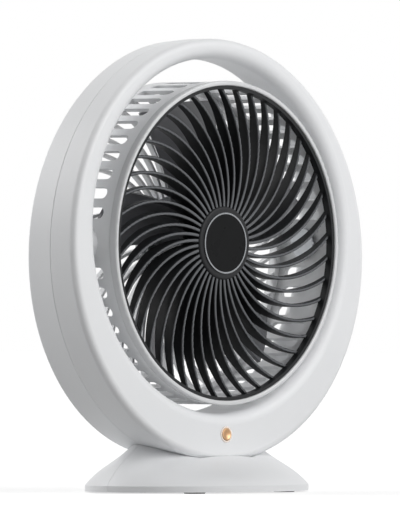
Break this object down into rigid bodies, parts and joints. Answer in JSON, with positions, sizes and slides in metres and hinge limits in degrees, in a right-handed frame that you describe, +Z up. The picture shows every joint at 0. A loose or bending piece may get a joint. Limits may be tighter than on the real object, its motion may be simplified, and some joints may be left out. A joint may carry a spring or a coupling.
{
  "type": "usb table fan",
  "caption": "Small USB desk fan: a slotted drum with a curved-rib grille tilts inside a round standing ring on an oval base with a push button.",
  "frame": {"origin": "under the middle of the oval base, on the surface that the feet stand on", "axes": "+Z up, -Y towards the front grille and the button, +X to the right seen from behind the fan"},
  "size_m": [0.1952, 0.086, 0.2097],
  "materials": {
    "white_shell": "satin moulded",
    "bezel_white": "gloss moulded",
    "grille_black": "fine moulded",
    "badge_black": "gloss moulded",
    "silver_trim": "bright plated",
    "impeller_dark": "semi-gloss moulded",
    "copper_button": "satin plated copper",
    "rose_trim": "anodised",
    "foot_rubber": "moulded",
    "steel": "turned",
    "zinc_weight": "zinc plated plate",
    "motor_alloy": "die cast",
    "core_steel": "stamped laminations",
    "copper_wire": "enamelled wire",
    "magnet": "bonded ferrite",
    "green_board": "solder mask",
    "switch_black": "moulded",
    "bearing_plastic": "acetal",
    "friction_fibre": "pressed fibre"
  },
  "bodies": {
    "stand": {"ring_front_shell": "white_shell", "ring_rear_shell": "white_shell", "ring_screws": "steel", "base_front_shell": "white_shell", "base_rear_shell": "white_shell", "base_bottom_plate": "white_shell", "ballast_weight": "zinc_weight", "rubber_feet": "foot_rubber", "base_screws": "steel", "saddle_screws": "steel", "button_trim_ring": "rose_trim", "tact_switch": "switch_black", "control_board": "green_board", "board_screws": "steel", "usb_socket": "steel", "power_board": "green_board", "pivot_bush_right": "bearing_plastic", "pivot_bush_left": "bearing_plastic"},
    "head": {"pivot_pin_right": "bearing_plastic", "pivot_pin_left": "bearing_plastic", "friction_washers": "friction_fibre", "drum_shell": "white_shell", "front_bezel": "bezel_white", "front_grille": "grille_black", "hub_trim_ring": "silver_trim", "hub_badge": "badge_black", "rear_grille": "white_shell", "grille_screws": "steel", "motor_base": "motor_alloy", "motor_screws": "steel", "stator_core": "core_steel", "stator_windings": "copper_wire", "motor_board": "green_board", "front_bearing": "steel", "rear_bearing": "steel"},
    "rotor": {"motor_shaft": "steel", "shaft_clip": "steel", "rotor_yoke": "steel", "rotor_magnet": "magnet", "impeller": "impeller_dark"},
    "button": {"power_button": "copper_button"}
  },
  "joints": [
    {"name": "head_tilt", "type": "hinge", "parent": "stand", "child": "head", "pos_m": [0, 0, 0.1152], "axis": [1, 0, 0], "range_deg": [-90, 90]},
    {"name": "fan_spin", "type": "hinge", "parent": "head", "child": "rotor", "pos_m": [0, 0, 0.1152], "axis": [0, -1, 0], "continuous": true},
    {"name": "button_press", "type": "slide", "parent": "stand", "child": "button", "axis": [0, 0.9993, -0.0375], "range_m": [0, 0.0005], "stiffness_N_per_m": 1500, "springref_m": -0.0003}
  ]
}
